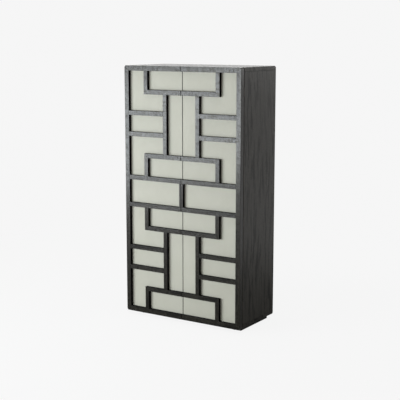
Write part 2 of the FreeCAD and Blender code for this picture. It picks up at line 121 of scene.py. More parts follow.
class Graph:
    """A node tree, with short calls for what the finishes share."""

    def __init__(self, tree: bpy.types.NodeTree) -> None:
        """Empties a tree and starts from it."""
        self.tree = tree
        self.tree.nodes.clear()

    def add(
        self,
        kind: str,
        inputs: dict[int | str, Value] | None = None,
        **settings: object,
    ) -> bpy.types.Node:
        """Adds a node.

        Args:
            kind: The node's type.
            inputs: What goes into its sockets, as constants or as sockets.
            settings: The node's own settings.

        Returns:
            The new node.
        """
        node = self.tree.nodes.new(kind)
        for name, value in settings.items():
            setattr(node, name, value)
        for key, value in (inputs or {}).items():
            self.feed(node.inputs[key], value)
        return node

    def feed(self, socket: Socket, value: Value) -> None:
        """Links an input socket, or sets its constant."""
        if isinstance(value, bpy.types.NodeSocket):
            self.tree.links.new(value, socket)
        else:
            socket.default_value = value

    def math(self, operation: str, *values: Value) -> Socket:
        """A Math node's result."""
        inputs = dict(enumerate(values))
        return self.add("ShaderNodeMath", inputs, operation=operation).outputs[0]

    def vector(self, operation: str, *values: Value) -> Socket:
        """A Vector Math node's vector."""
        inputs = dict(enumerate(values))
        return self.add("ShaderNodeVectorMath", inputs, operation=operation).outputs[0]

    def length(self, vector: Value) -> Socket:
        """How long a vector is."""
        node = self.add("ShaderNodeVectorMath", {0: vector}, operation="LENGTH")
        return node.outputs["Value"]

    def split(self, vector: Value) -> Axes:
        """The parts of a vector, by the names X, Y and Z."""
        return dict(self.add("ShaderNodeSeparateXYZ", {0: vector}).outputs.items())

    def join(self, parts: dict[int, Value]) -> Socket:
        """A vector from its parts, by their numbers."""
        return self.add("ShaderNodeCombineXYZ", parts).outputs[0]

    def rise(
        self,
        value: Value,
        low: float,
        high: float,
        start: float = 0.0,
        end: float = 1.0,
    ) -> Socket:
        """A smooth step.

        Args:
            value: What is read.
            low: Where the step begins.
            high: Where it ends.
            start: The result below the step.
            end: The result above it.

        Returns:
            The stepped value.
        """
        inputs = {
            "Value": value,
            "From Min": low,
            "From Max": high,
            "To Min": start,
            "To Max": end,
        }
        node = self.add("ShaderNodeMapRange", inputs, interpolation_type="SMOOTHSTEP")
        return node.outputs[0]

    def blend(self, share: Value, low: Value, high: Value) -> Socket:
        """A mix of two colours by a share from 0 to 1."""
        low, high = (
            (*value, 1.0) if isinstance(value, tuple) else value
            for value in (low, high)
        )
        # Sockets 6, 7 and 2 are the node's two colours and their mix.
        inputs = {0: share, 6: low, 7: high}
        return self.add("ShaderNodeMix", inputs, data_type="RGBA").outputs[2]


class Surface(Graph):
    """The node tree of one material, round its Principled shader."""

    def __init__(self, name: str) -> None:
        """Starts the material with its shader and its output.

        Args:
            name: The material's name.
        """
        self.material = bpy.data.materials.new(name)
        self.material.use_nodes = True
        super().__init__(self.material.node_tree)
        self.shader = self.add("ShaderNodeBsdfPrincipled")
        self.output = self.add(
            "ShaderNodeOutputMaterial", {"Surface": self.shader.outputs[0]}
        )

    def put(self, socket: str, value: Value) -> None:
        """Links one of the shader's own sockets, or sets its constant."""
        self.feed(self.shader.inputs[socket], value)

    def place(self) -> Socket:
        """The place on the object."""
        return self.add("ShaderNodeTexCoord").outputs["Object"]

    def vary_roughness(self, pattern: Value, mean: float, spread: float) -> None:
        """Lets a pattern from 0 to 1 vary the roughness about its mean."""
        rough = self.math("MULTIPLY_ADD", pattern, spread, mean - spread / 2)
        self.put("Roughness", rough)

    def bump(self, height: Value, depth: float, edge: float) -> None:
        """Gives the surface its relief, over edges that look eased.

        Args:
            height: The relief, in units of its depth.
            depth: Its depth in metres.
            edge: The radius of the eased edges.
        """
        eased = self.add("ShaderNodeBevel", {"Radius": edge}, samples=4)
        inputs = {
            "Height": height,
            "Distance": depth,
            "Strength": 1.0,
            "Normal": eased.outputs[0],
        }
        self.put("Normal", self.add("ShaderNodeBump", inputs).outputs[0])


@dataclass(frozen=True)
class Pattern:
    """A soft irregular pattern.

    Attributes:
        stretch: How many features there are in a metre, for each axis or for all.
        step: Where a smooth step in it begins and ends, if it has one.
        span: The results below and above the step.
        detail: Its octaves.
        rough: How strong the finer octaves are.
    """

    stretch: Place | float
    step: Span | None = None
    span: Span = (0.0, 1.0)
    detail: float = 2.0
    rough: float = 0.5

    def draw(self, g: Graph, where: Value, output: str = "Fac") -> Socket:
        """Draws the pattern.

        Args:
            g: The material's graph.
            where: The place that it reads.
            output: Fac for one number at each place, or Color for three.

        Returns:
            The pattern, from 0 to 1 unless its span says otherwise.
        """
        scale = self.stretch
        if isinstance(scale, float):
            scale = (scale, scale, scale)
        inputs = {
            "Vector": g.vector("MULTIPLY", where, scale),
            "Scale": 1.0,
            "Detail": self.detail,
            "Roughness": self.rough,
        }
        noise = g.add("ShaderNodeTexNoise", inputs).outputs[output]
        return g.rise(noise, *self.step, *self.span) if self.step else noise


@dataclass(frozen=True)
class Grain:
    """How straight open-grain wood grows.

    The axes of a pattern run across the board, through it and along it.

    Attributes:
        ring_width: The width of a growth ring.
        ring_rise: Where in a ring the late wood begins.
        ring_fall: Where in a ring it ends.
        flatness: How flat the rings lie in the board.
        bends: How far the grain strays in long and short bends, and their patterns.
        flames: The pattern of the broad streaks, out from the heart.
        flame_step: The step in it at a streak's edge.
        patches: The patches where the broad streaks are faint or strong.
        fine: The fine streaks.
        pores: The open pores.
        waves: The soft waves across the grain.
        spot_step: The step in them at a dull spot's edge.
        first_shift: How far the figure is moved on board 0.
        board_shift: How much further it is moved on each next board.
    """

    ring_width: float = 0.0042
    ring_rise: Span = (0.25, 0.85)
    ring_fall: Span = (0.9, 1.0)
    flatness: float = 0.45
    bends: Sequence[tuple[float, Pattern]] = (
        (0.08, Pattern((4.0, 4.0, 1.2), detail=3.0)),
        (0.02, Pattern((14.0, 14.0, 8.0))),
    )
    flames: Pattern = Pattern((32.0, 1.0, 3.2), detail=4.0, rough=0.65)
    flame_step: Span = (0.4, 0.54)
    patches: Pattern = Pattern((7.0, 7.0, 3.0), step=(0.35, 0.65), span=(0.4, 1.1))
    fine: Pattern = Pattern((420.0, 420.0, 7.0), rough=0.6)
    pores: Pattern = Pattern((1500.0, 1500.0, 42.0), step=(0.56, 0.68), detail=1.0)
    waves: Pattern = Pattern((30.0, 30.0, 95.0), detail=1.0, rough=0.45)
    spot_step: Span = (0.42, 0.66)
    first_shift: Place = (0.9, 0.08, 0.0)
    board_shift: Place = (0.37, 0.23, 1.7)


class Board(Surface):
    """The node tree of one wooden board, with its figure.

    Attributes:
        axes: The place on the object, by the names X, Y and Z.
        late: 1 in the late wood of a ring.
        streak: 0 in a broad dark streak and 1 beside it.
        fine: The fine streaks.
        pores: 1 in a pore.
        waves: The soft waves across the grain.
        spots: 1 in a dull spot.
    """

    def __init__(self, name: str, grain: Grain, cut: Cut, number: int) -> None:
        """Draws the board's figure.

        Args:
            name: The name of its wood.
            grain: How the wood grows.
            cut: How the board lies.
            number: The board's number, so that no two share their figure.
        """
        super().__init__(f"{name}_{cut.name.lower()}_{number}")
        self.axes = self.split(self.place())
        turned = self.join({n: self.axes[axis] for n, axis in enumerate(cut.value)})
        shift = tuple(
            first + step * number
            for first, step in zip(grain.first_shift, grain.board_shift)
        )
        where = bent = self.vector("ADD", turned, shift)
        for far, bend in grain.bends:
            stray = bend.draw(self, where, "Color")
            stray = self.vector("MULTIPLY", stray, (far, far, 0.0))
            bent = self.vector("ADD", bent, stray)
        radius = self.vector("MULTIPLY", bent, (1.0, grain.flatness, 0.0))
        radius = self.length(radius)
        phase = self.math("FRACT", self.math("DIVIDE", radius, grain.ring_width))
        begun = self.rise(phase, *grain.ring_rise)
        ended = self.rise(phase, *grain.ring_fall, 1.0, 0.0)
        self.late = self.math("MULTIPLY", begun, ended)
        rings = self.join({0: radius, 2: self.axes[cut.value[2]]})
        flames = self.math("SUBTRACT", grain.flames.draw(self, rings), MEAN_NOISE)
        patches = grain.patches.draw(self, where)
        flames = self.math("MULTIPLY_ADD", flames, patches, MEAN_NOISE)
        self.streak = self.rise(flames, *grain.flame_step)
        self.fine = grain.fine.draw(self, bent)
        self.pores = grain.pores.draw(self, where)
        self.waves = grain.waves.draw(self, where)
        self.spots = self.rise(self.waves, *grain.spot_step)


@dataclass(frozen=True)
class PaintedShadeSides:
    """Painted shade: matt black without gloss on the bars' shadowed sides inside the
    front, and in the dark gap where the doors meet.

    Attributes:
        facing: How far a face looks to the front where the black ends and is gone.
        middle: How far the painted shade of the doors' gap reaches from the middle of the
            front.
        margin: How far inside the front's outline the black begins and is full.
        floor_gap: How far the front stays off the floor.
        roughness: The black's roughness.
    """

    facing: Span = (0.5, 0.95)
    middle: float = 0.0027
    margin: Span = (0.008, 0.016)
    floor_gap: float = 0.03
    roughness: float = 0.75

    def mask(self, g: Board) -> Socket:
        """Finds where shade is painted black.

        Args:
            g: The board's graph.

        Returns:
            1 where shade is painted black and 0 elsewhere.
        """
        (left, _, floor), (right, _, top) = cad_box
        begin, full = self.margin
        normal = g.add("ShaderNodeTexCoord").outputs["Normal"]
        facing = g.math("ABSOLUTE", g.split(normal)["Y"])
        black = [g.rise(facing, *self.facing, 1.0, 0.0)]
        for axis, low, high in (("X", left, right), ("Z", floor + self.floor_gap, top)):
            middle, half = (low + high) / 2, (high - low) / 2
            off = g.math("ABSOLUTE", g.math("SUBTRACT", g.axes[axis], middle))
            black.append(g.rise(off, half - full, half - begin, 1.0, 0.0))
        # Painted shade: the bars' sides away from the front's outline, and the doors' gap
        # in the middle.
        sides, *inside = black
        sides = g.math("MULTIPLY", sides, g.math("MINIMUM", *inside))
        across = g.math("ABSOLUTE", g.axes["X"])
        return g.math("MAXIMUM", sides, g.math("LESS_THAN", across, self.middle))


@dataclass(frozen=True)
class Veneer:
    """Straight open-grain wood, stained or bare.

    Attributes:
        name: The finish's name.
        light: The colour of the soft early wood.
        dark: The colour of the dense late wood.
        pore: The colour of the stain that gathers in the pores.
        roughness: The lacquer's roughness.
        shine: The lacquer's specular level.
        mottle: How much rougher the dull spots are.
        streak: How much the broad streaks show.
        dull_spots: How much of the shine the dull spots lose.
        dull_streaks: How much of the shine the dark streaks lose.
        ripple: The depth of the soft ripple across the grain.
        joints: The heights of the fine dark lines where boards meet.
        sides: The painted shade on the bars' sides and in the doors' gap, matt black, if
            there is any.
        grain: How the wood grows.
        tone_step: The step from the dark to the light wood.
        late_share: How much the late wood darkens.
        pore_share: How much the stain in the pores covers.
        pore_roughness: How much rougher the pores are.
        joint_half: How far a joint's line is full and reaches, from its middle.
        joint_roughness: The roughness of a joint's line.
        relief: The depth of the grain's relief.
        fine_relief: How much of the relief the fine streaks have.
        edge: The radius of the eased edges.
    """

    name: str
    light: Rgb
    dark: Rgb
    pore: Rgb
    roughness: float
    shine: float
    mottle: float
    streak: float
    dull_spots: float = 0.0
    dull_streaks: float = 0.0
    ripple: float = 0.0
    joints: Sequence[float] = ()
    sides: PaintedShadeSides | None = None
    grain: Grain = Grain()
    tone_step: Span = (0.05, 0.85)
    late_share: float = 0.35
    pore_share: float = 0.7
    pore_roughness: float = 0.05
    joint_half: Span = (0.0007, 0.0012)
    joint_roughness: float = 0.95
    relief: float = 0.00006
    fine_relief: float = 0.6
    edge: float = 0.0008

    def material(self, cut: Cut, number: int) -> Material:
        """Makes the wood of one board.

        Args:
            cut: How the board lies.
            number: The board's number, so that no two share their figure.

        Returns:
            The material.
        """
        g = Board(self.name, self.grain, cut, number)
        thick = g.math("MULTIPLY", g.spots, self.dull_spots)
        wood = g.blend(thick, self.stained(g), self.dark)
        wood = g.blend(g.math("MULTIPLY", g.pores, self.pore_share), wood, self.pore)
        rough = g.math("MULTIPLY_ADD", g.pores, self.pore_roughness, self.roughness)
        rough = g.math("MULTIPLY_ADD", g.spots, self.mottle, rough)
        lost = self.dull_streaks
        dull = g.math("MAXIMUM", thick, g.math("MULTIPLY_ADD", g.streak, -lost, lost))
        covers = [(self.joint(g, z), self.joint_roughness) for z in self.joints]
        # Painted shade: the bars' shadowed sides and the doors' gap turn black and rough,
        # and lose their gloss through Metallic.
        if self.sides:
            black = self.sides.mask(g)
            covers.append((black, self.sides.roughness))
            dull = g.math("MAXIMUM", dull, black)
        for cover, roughness in covers:
            wood = g.blend(cover, wood, self.pore)
            rough = g.math("MAXIMUM", rough, g.math("MULTIPLY", cover, roughness))
        g.put("Base Color", wood)
        g.put("Roughness", rough)
        g.put("Specular IOR Level", self.shine)
        # Metallic carries the dull spots and streaks, and the painted shade that takes
        # away the gloss.
        if self.sides or self.dull_spots or self.dull_streaks:
            g.put("Metallic", dull)
        height = g.math("MULTIPLY_ADD", g.fine, self.fine_relief, g.late)
        height = g.math("SUBTRACT", height, g.pores)
        if self.ripple:
            share = self.ripple / self.relief
            height = g.math("MULTIPLY_ADD", g.waves, share, height)
        g.bump(height, self.relief, self.edge)
        return g.material

    def stained(self, g: Board) -> Socket:
        """Stains the wood between the pores.

        Args:
            g: The board's graph.

        Returns:
            The wood's colour.
        """
        broad = g.math("MULTIPLY", g.streak, self.streak)
        fine = g.math("MULTIPLY", g.fine, 1.0 - self.streak)
        late = g.math("MULTIPLY", g.late, self.late_share)
        tone = g.math("SUBTRACT", g.math("ADD", broad, fine), late)
        return g.blend(g.rise(tone, *self.tone_step), self.dark, self.light)

    def joint(self, g: Board, height: float) -> Socket:
        """1 on the fine line of the joint at a height, and 0 elsewhere."""
        gap = g.math("ABSOLUTE", g.math("SUBTRACT", g.axes["Z"], height))
        return g.rise(gap, *self.joint_half, 1.0, 0.0)


@dataclass(frozen=True)
class Lacquer:
    """A sprayed opaque lacquer on board.

    Attributes:
        name: The finish's name.
        colour: The lacquer's colour.
        cloud: The colour of its faint clouds.
        roughness: Its mean roughness.
        shine: Its specular level.
        gap_shade_reach: How far from the middle of the front the painted shade of the
            doors' gap reaches on the panels' meeting edges.
        gap_shade_colour: The colour of that painted shade.
        clouds: The pattern of the clouds.
        specks: The pattern of the fine specks.
        speck_share: How much the specks show, against the clouds.
        uneven: How much the roughness varies.
        peel: The dimples of the spray.
        relief: The depth of the dimples.
        edge: The radius of the eased edges.
    """

    name: str
    colour: Rgb
    cloud: Rgb
    roughness: float
    shine: float = 0.25
    gap_shade_reach: float = 0.0
    gap_shade_colour: Rgb = (0.004, 0.004, 0.0035)
    clouds: Pattern = Pattern(5.0, step=(0.3, 0.7), detail=3.0, rough=0.6)
    specks: Pattern = Pattern(60.0)
    speck_share: float = 0.25
    uneven: float = 0.12
    peel: Pattern = Pattern(420.0)
    relief: float = 0.00006
    edge: float = 0.0008

    @cached_property
    def material(self) -> Material:
        """Makes the lacquer, once.

        Returns:
            The material.
        """
        g = Surface(self.name)
        where = g.place()
        specks = self.specks.draw(g, where)
        clouds = self.clouds.draw(g, where)
        share = g.math("MULTIPLY", clouds, 1.0 - self.speck_share)
        share = g.math("MULTIPLY_ADD", specks, self.speck_share, share)
        colour = g.blend(share, self.colour, self.cloud)
        # Painted shade: the panels' meeting edges in the doors' gap are painted near
        # black.
        if self.gap_shade_reach:
            across = g.math("ABSOLUTE", g.split(where)["X"])
            gap_shade = g.math("LESS_THAN", across, self.gap_shade_reach)
            colour = g.blend(gap_shade, colour, self.gap_shade_colour)
        g.put("Base Color", colour)
        g.put("Specular IOR Level", self.shine)
        g.vary_roughness(specks, self.roughness, self.uneven)
        g.bump(self.peel.draw(g, where), self.relief, self.edge)
        return g.material


@dataclass(frozen=True)
class Metal:
    """Plain, plated or coated steel.

    Attributes:
        name: The finish's name.
        colour: The metal's colour.
        worn: The colour that shows where it is rubbed.
        roughness: Its mean roughness.
        metallic: 1 for bare or plated steel, less under a coat.
        brush: How many fine scratches there are in a metre along each axis.
        scratch_step: The step at a scratch's edge.
        rubbed: The patches where it is rubbed.
        uneven: How much the roughness varies.
        relief: The depth of the scratches.
        edge: The radius of the eased edges.
    """

    name: str
    colour: Rgb
    worn: Rgb
    roughness: float
    metallic: float
    brush: Place
    scratch_step: Span = (0.45, 0.7)
    rubbed: Pattern = Pattern(90.0, step=(0.5, 0.75), detail=3.0, rough=0.6)
    uneven: float = 0.2
    relief: float = 0.00003
    edge: float = 0.0003

    @cached_property
    def material(self) -> Material:
        """Makes the metal, once.

        Returns:
            The material.
        """
        g = Surface(self.name)
        where = g.place()
        scratches = Pattern(self.brush, detail=3.0, rough=0.65).draw(g, where)
        bare = g.rise(scratches, *self.scratch_step)
        bare = g.math("MULTIPLY", self.rubbed.draw(g, where), bare)
        g.put("Base Color", g.blend(bare, self.colour, self.worn))
        g.put("Metallic", self.metallic)
        g.vary_roughness(scratches, self.roughness, self.uneven)
        g.bump(scratches, self.relief, self.edge)
        return g.material


@dataclass(frozen=True)
class Plastic:
    """Moulded plastic with a fine texture.

    Attributes:
        name: The finish's name.
        colour: The plastic's colour.
        scuff: The colour of its light scuffs.
        roughness: Its mean roughness.
        scuffs: The pattern of the scuffs.
        scuff_step: The step in it at a scuff's edge.
        scuff_share: How much the scuffs show.
        uneven: How much the roughness varies.
        grit: The grains of the texture.
        relief: The depth of the texture.
        edge: The radius of the eased edges.
    """

    name: str
    colour: Rgb
    scuff: Rgb
    roughness: float
    scuffs: Pattern = Pattern(120.0, detail=3.0, rough=0.6)
    scuff_step: Span = (0.55, 0.75)
    scuff_share: float = 0.6
    uneven: float = 0.15
    grit: Pattern = Pattern(1800.0)
    relief: float = 0.00005
    edge: float = 0.0004

    @cached_property
    def material(self) -> Material:
        """Makes the plastic, once.

        Returns:
            The material.
        """
        g = Surface(self.name)
        where = g.place()
        patches = self.scuffs.draw(g, where)
        scuffs = g.rise(patches, *self.scuff_step, 0.0, self.scuff_share)
        g.put("Base Color", g.blend(scuffs, self.colour, self.scuff))
        g.vary_roughness(patches, self.roughness, self.uneven)
        g.bump(self.grit.draw(g, where), self.relief, self.edge)
        return g.material


FRAME_WOOD = Veneer(
    "stained_frame",
    light=(0.0275, 0.0243, 0.0172),
    dark=(0.005, 0.0045, 0.003),
    pore=(0.002, 0.002, 0.002),
    roughness=0.2,
    shine=0.305,
    mottle=0.05,
    streak=0.4,
    dull_spots=0.42,
    dull_streaks=0.2,
    ripple=0.00026,
    # Painted shade on the bars' sides and in the doors' gap.
    sides=PaintedShadeSides(),
)
CARCASS_WOOD = Veneer(
    "stained_carcass",
    light=(0.045, 0.0415, 0.0335),
    dark=(0.009, 0.0083, 0.0067),
    pore=(0.002, 0.002, 0.002),
    roughness=0.36,
    shine=0.2,
    mottle=0.05,
    streak=0.75,
    dull_spots=0.06,
    dull_streaks=0.7,
    joints=(0.06, 1.86),
    grain=Grain(ring_width=0.0095),
)
SHELF_WOOD = Veneer(
    "inner_shelf",
    light=(0.045, 0.041, 0.036),
    dark=(0.018, 0.0165, 0.0145),
    pore=(0.008, 0.0075, 0.007),
    roughness=0.5,
    shine=0.4,
    mottle=0.1,
    streak=0.5,
)
BARE_WOOD = Veneer(
    "bare_wood",
    light=(0.56, 0.42, 0.28),
    dark=(0.38, 0.26, 0.16),
    pore=(0.26, 0.17, 0.1),
    roughness=0.72,
    shine=0.25,
    mottle=0.1,
    streak=0.5,
    grain=Grain(ring_width=0.003),
)
PANEL_LACQUER = Lacquer(
    "greige_lacquer",
    colour=(0.514, 0.5, 0.419),
    cloud=(0.49, 0.478, 0.395),
    roughness=0.52,
    # Painted shade on the panels' meeting edges, in the doors' gap.
    gap_shade_reach=0.0031,
)
BACK_LACQUER = Lacquer(
    "back_lacquer",
    colour=(0.5, 0.495, 0.435),
    cloud=(0.475, 0.468, 0.405),
    roughness=0.6,
)
HINGE_STEEL = Metal(
    "hinge_steel",
    colour=(0.06, 0.054, 0.048),
    worn=(0.16, 0.14, 0.115),
    roughness=0.42,
    metallic=0.7,
    brush=(900.0, 900.0, 60.0),
)
PIN_STEEL = Metal(
    "pin_steel",
    colour=(0.45, 0.44, 0.42),
    worn=(0.6, 0.59, 0.57),
    roughness=0.3,
    metallic=1.0,
    brush=(120.0, 120.0, 2500.0),
)
PLATED_STEEL = Metal(
    "plated_steel",
    colour=(0.55, 0.555, 0.54),
    worn=(0.66, 0.66, 0.64),
    roughness=0.36,
    metallic=1.0,
    brush=(1500.0, 1500.0, 90.0),
)
LATCH_PLASTIC = Plastic(
    "latch_plastic",
    colour=(0.03, 0.03, 0.03),
    scuff=(0.06, 0.06, 0.06),
    roughness=0.505,
)
GLIDE_PLASTIC = Plastic(
    "glide_plastic",
    colour=(0.02, 0.02, 0.02),
    scuff=(0.09, 0.09, 0.085),
    roughness=0.425,
)


def dress(node: str, material: Material) -> None:
    """Gives a carried-over node its finish.

    Args:
        node: The node's name.
        material: What its material slots take.
    """
    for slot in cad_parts[node].material_slots:
        slot.material = material
    log.info("%s: dressed in %s", node, material.name)


def dress_boards(wood: Veneer, boards: dict[str, Cut], lot: Lot) -> None:
    """Dresses a lot of boards, each with a figure of its own.

    Args:
        wood: The wood.
        boards: The boards' nodes, and how each lies.
        lot: The lot that their numbers come from.
    """
    for number, (node, cut) in enumerate(boards.items(), lot.value):
        dress(node, wood.material(cut, number))


def link_mesh(name: str, shape: Shape, material: Material) -> bpy.types.Object:
    """Puts a shape into the scene and frees it.

    Args:
        name: The name of its object and mesh.
        shape: The shape, in the cabinet's frame.
        material: Its material.

    Returns:
        Its object.
    """
    mesh = bpy.data.meshes.new(name)
    shape.to_mesh(mesh)
    shape.free()
    mesh.materials.append(material)
    made = bpy.data.objects.new(name, mesh)
    bpy.context.scene.collection.objects.link(made)
    return made


def new_piece(
    name: str, shape: Shape, finish: Metal | Plastic, body: str
) -> bpy.types.Object:
    """Makes a finished piece from a bmesh and lets it ride on a body.

    Args:
        name: The piece's name.
        shape: Its shape, in the cabinet's frame. It is freed here.
        finish: Its finish.
        body: The body that it rides on.

    Returns:
        The piece's object.
    """
    bmesh.ops.recalc_face_normals(shape, faces=shape.faces)
    for edge in shape.edges:
        edge.smooth = edge.calc_face_angle(math.pi) < SMOOTH_BELOW
    for face in shape.faces:
        face.smooth = True
    piece, slot = link_mesh(name, shape, finish.material), finish.name
    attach(piece, body)
    log.info("%s: %d faces on %s", name, len(piece.data.polygons), body)
    return piece


@dataclass(frozen=True)
class ScrewHead:
    """A low screw head with a cross recess.

    Attributes:
        radius: The head's radius.
        proud: How far it stands off its seat.
        buried: How far its cone goes into the seat.
        foot: The radius of the cone's foot, as a share of the head's.
        bevel: How much of the stand-off the bevelled rim takes.
        face: The radius inside the bevel, as a share of the head's.
        recess: The recess's radius, as a share of the head's.
        recess_depth: How deep the recess is.
        recess_floor: The size of its floor, as a share of its mouth.
        cross: How far the corners of a quarter of the cross reach, as shares.
        segments: How many sides the head's outline has.
    """

    radius: float = 0.0028
    proud: float = 0.0002
    buried: float = 0.0014
    foot: float = 0.5
    bevel: float = 0.45
    face: float = 0.92
    recess: float = 0.56
    recess_depth: float = 0.0011
    recess_floor: float = 0.55
    cross: Sequence[float] = (1.0, 1.0, 0.52, 0.37, 0.52, 1.0)
    segments: int = 24

    def shape(self) -> Shape:
        """Shapes the head round the origin, looking along +Z from its seat at z = 0.

        Returns:
            A new bmesh.
        """
        head = bmesh.new()
        height = self.proud + self.buried
        bmesh.ops.create_cone(
            head,
            cap_ends=True,
            segments=self.segments,
            radius1=self.radius * self.foot,
            radius2=self.radius,
            depth=height,
            matrix=Matrix.Translation((0, 0, self.proud - height / 2)),
        )
        bmesh.ops.bevel(
            head,
            geom=list(self.top(head).edges),
            offset=self.proud * self.bevel,
            offset_type="OFFSET",
            segments=2,
            profile=0.5,
            affect="EDGES",
            material=-1,
        )
        bmesh.ops.inset_region(
            head,
            faces=[self.top(head)],
            thickness=self.radius * (self.face - self.recess),
            use_even_offset=True,
        )
        mouth = self.top(head)
        size = max(vertex.co.xy.length for vertex in mouth.verts)
        for vertex in mouth.verts:
            turn = math.atan2(vertex.co.y, vertex.co.x) / math.tau * self.segments
            reach = self.cross[round(turn) % len(self.cross)]
            share = reach * self.radius * self.recess / size
            bmesh.ops.scale(head, vec=(share, share, 1.0), verts=[vertex])
        floor = bmesh.ops.extrude_discrete_faces(head, faces=[mouth])["faces"][0]
        corners = list(floor.verts)
        bmesh.ops.translate(head, vec=(0, 0, -self.recess_depth), verts=corners)
        narrow = (self.recess_floor, self.recess_floor, 1.0)
        bmesh.ops.scale(head, vec=narrow, verts=corners)
        return head

    @staticmethod
    def top(head: Shape) -> bmesh.types.BMFace:
        """The highest level face of a head."""
        head.normal_update()
        level = [face for face in head.faces if face.normal.z > LEVEL_ABOVE]
        return max(
            level, key=lambda face: (face.calc_center_median().z, len(face.verts))
        )


@dataclass(frozen=True)
class Screws:
    """A group of like screws in one body.

    Attributes:
        name: The group's name.
        body: The body that they hold.
        facing: The way that their heads look.
        seats: The places of the heads on their seats.
        head: The shape of a head.
        metal: Their finish.
        turn: How much further each next head is turned, in radians.
    """

    name: str
    body: str
    facing: Place
    seats: Sequence[Place]
    head: ScrewHead
    metal: Metal = HINGE_STEEL
    turn: float = 0.9

    def build(self) -> None:
        """Builds the group as one piece."""
        one = self.head.shape()
        template = bpy.data.meshes.new("screw_head")
        one.to_mesh(template)
        one.free()
        aim = Vector((0, 0, 1)).rotation_difference(Vector(self.facing)).to_matrix()
        group = bmesh.new()
        for number, seat in enumerate(self.seats):
            spin = Matrix.Rotation(self.turn * number, 3, "Z")
            known = len(group.verts)
            group.from_mesh(template)
            group.verts.ensure_lookup_table()
            added = group.verts[known:]
            bmesh.ops.transform(group, matrix=(aim @ spin).to_4x4(), verts=added)
            bmesh.ops.translate(group, vec=seat, verts=added)
        bpy.data.meshes.remove(template)
        new_piece(self.name, group, self.metal, self.body)


@dataclass
class Carcass:
    """The boards, shelves and cleats that the books stand in.

    Attributes:
        cleat_face: How far from the middle the cleats' faces lie.
        cleat_screw_depths: Where the screws sit along a cleat.
        cleat_screw_drop: How far under a lift-out shelf they sit.
        shelf_bottoms: The heights of the lift-out shelves' lower faces.
        cleat_screw: The shape of their heads.
    """

    cleat_face: float = 0.461
    cleat_screw_depths: Sequence[float] = (-0.12, 0.035, 0.19)
    cleat_screw_drop: float = 0.011
    shelf_bottoms: Sequence[float] = (0.33917, 0.64333, 1.25167, 1.55583)
    cleat_screw: ScrewHead = ScrewHead(radius=0.004, proud=0.0004, recess=0.5)

    def build(self) -> None:
        """Dresses the boards and puts the screws into the cleats."""
        boards = {
            "top_board": Cut.LEVEL_TOP,
            "bottom_board": Cut.LEVEL_TOP,
            "left_side_panel": Cut.STANDING_SIDE,
            "right_side_panel": Cut.STANDING_SIDE,
        }
        shelves = {"middle_shelf": Cut.LEVEL_TOP}
        for number in range(1, len(self.shelf_bottoms) + 1):
            shelves[f"lift_out_shelf_{number}"] = Cut.LEVEL_TOP
        cleats = {f"{side.value}_shelf_cleats": Cut.DEEP_SIDE for side in Side}
        dress_boards(CARCASS_WOOD, boards, Lot.CARCASS)
        dress_boards(SHELF_WOOD, shelves, Lot.SHELVES)
        dress_boards(SHELF_WOOD, cleats, Lot.CLEATS)
        dress_boards(BARE_WOOD, {"carcass_tongues": Cut.DEEP_SIDE}, Lot.TONGUES)
        dress("back_panel", BACK_LACQUER.material)
        for side in Side:
            name, facing = f"{side.value}_cleat_screws", (-side.sign, 0, 0)
            seats = [
                (side.sign * self.cleat_face, depth, bottom - self.cleat_screw_drop)
                for bottom in self.shelf_bottoms
                for depth in self.cleat_screw_depths
            ]
            Screws(name, "carcass", facing, seats, self.cleat_screw).build()


@dataclass
class Plinth:
    """The recessed base under the carcass.

    Attributes:
        block_corner: How far the corner blocks reach outwards, forwards and back.
        block_bottom: The height of their lower faces.
        block_screw_inset: How far inside that corner their screws sit.
        block_screw: The shape of the screws' heads.
    """

    block_corner: Place = (0.447, -0.15, 0.194)
    block_bottom: float = 0.003
    block_screw_inset: float = 0.013
    block_screw: ScrewHead = ScrewHead(radius=0.0038, proud=0.0004, recess=0.5)

    def build(self) -> None:
        """Dresses the plinth and screws its corner blocks."""
        boards = {
            "plinth_front_board": Cut.LEVEL_FRONT,
            "plinth_back_board": Cut.LEVEL_FRONT,
            "plinth_left_board": Cut.DEEP_SIDE,
            "plinth_right_board": Cut.DEEP_SIDE,
        }
        blocks = {"plinth_corner_blocks": Cut.STANDING_FRONT}
        dress_boards(CARCASS_WOOD, boards, Lot.PLINTH)
        dress_boards(BARE_WOOD, blocks, Lot.BLOCKS)
        dress("floor_glides", GLIDE_PLASTIC.material)
        reach, front, back = self.block_corner
        inset = self.block_screw_inset
        seats = [
            (side.sign * (reach - inset), depth, self.block_bottom)
            for side in Side
            for depth in (front + inset, back - inset)
        ]
        name, down = "plinth_block_screws", (0, 0, -1)
        screws = Screws(name, "carcass", down, seats, self.block_screw, PLATED_STEEL)
        screws.build()


@dataclass
class LatticeDoor:
    """One door: a pale panel behind an open lattice of dark bars.

    Attributes:
        side: The door's side.
        standing: The bars that stand.
        level: The bars that lie level.
    """

    side: Side
    standing: Sequence[str] = (
        "hinge_stile",
        "meeting_bar",
        "lower_long_upright",
        "upper_long_upright",
        "short_uprights",
    )
    level: Sequence[str] = (
        "bottom_rail",
        "top_rail",
        "lower_band_rail",
        "upper_band_rail",
        "cross_bars",
        "side_bars",
    )

    def build(self) -> None:
        """Dresses the door's bars and its panel."""
        door = f"{self.side.value}_door"
        bars = {f"{door}_{name}": Cut.STANDING_FRONT for name in self.standing}
        bars |= {f"{door}_{name}": Cut.LEVEL_FRONT for name in self.level}
        lot = Lot.LEFT_DOOR if self.side is Side.LEFT else Lot.RIGHT_DOOR
        dress_boards(FRAME_WOOD, bars, lot)
        dress(f"{door}_panel", PANEL_LACQUER.material)


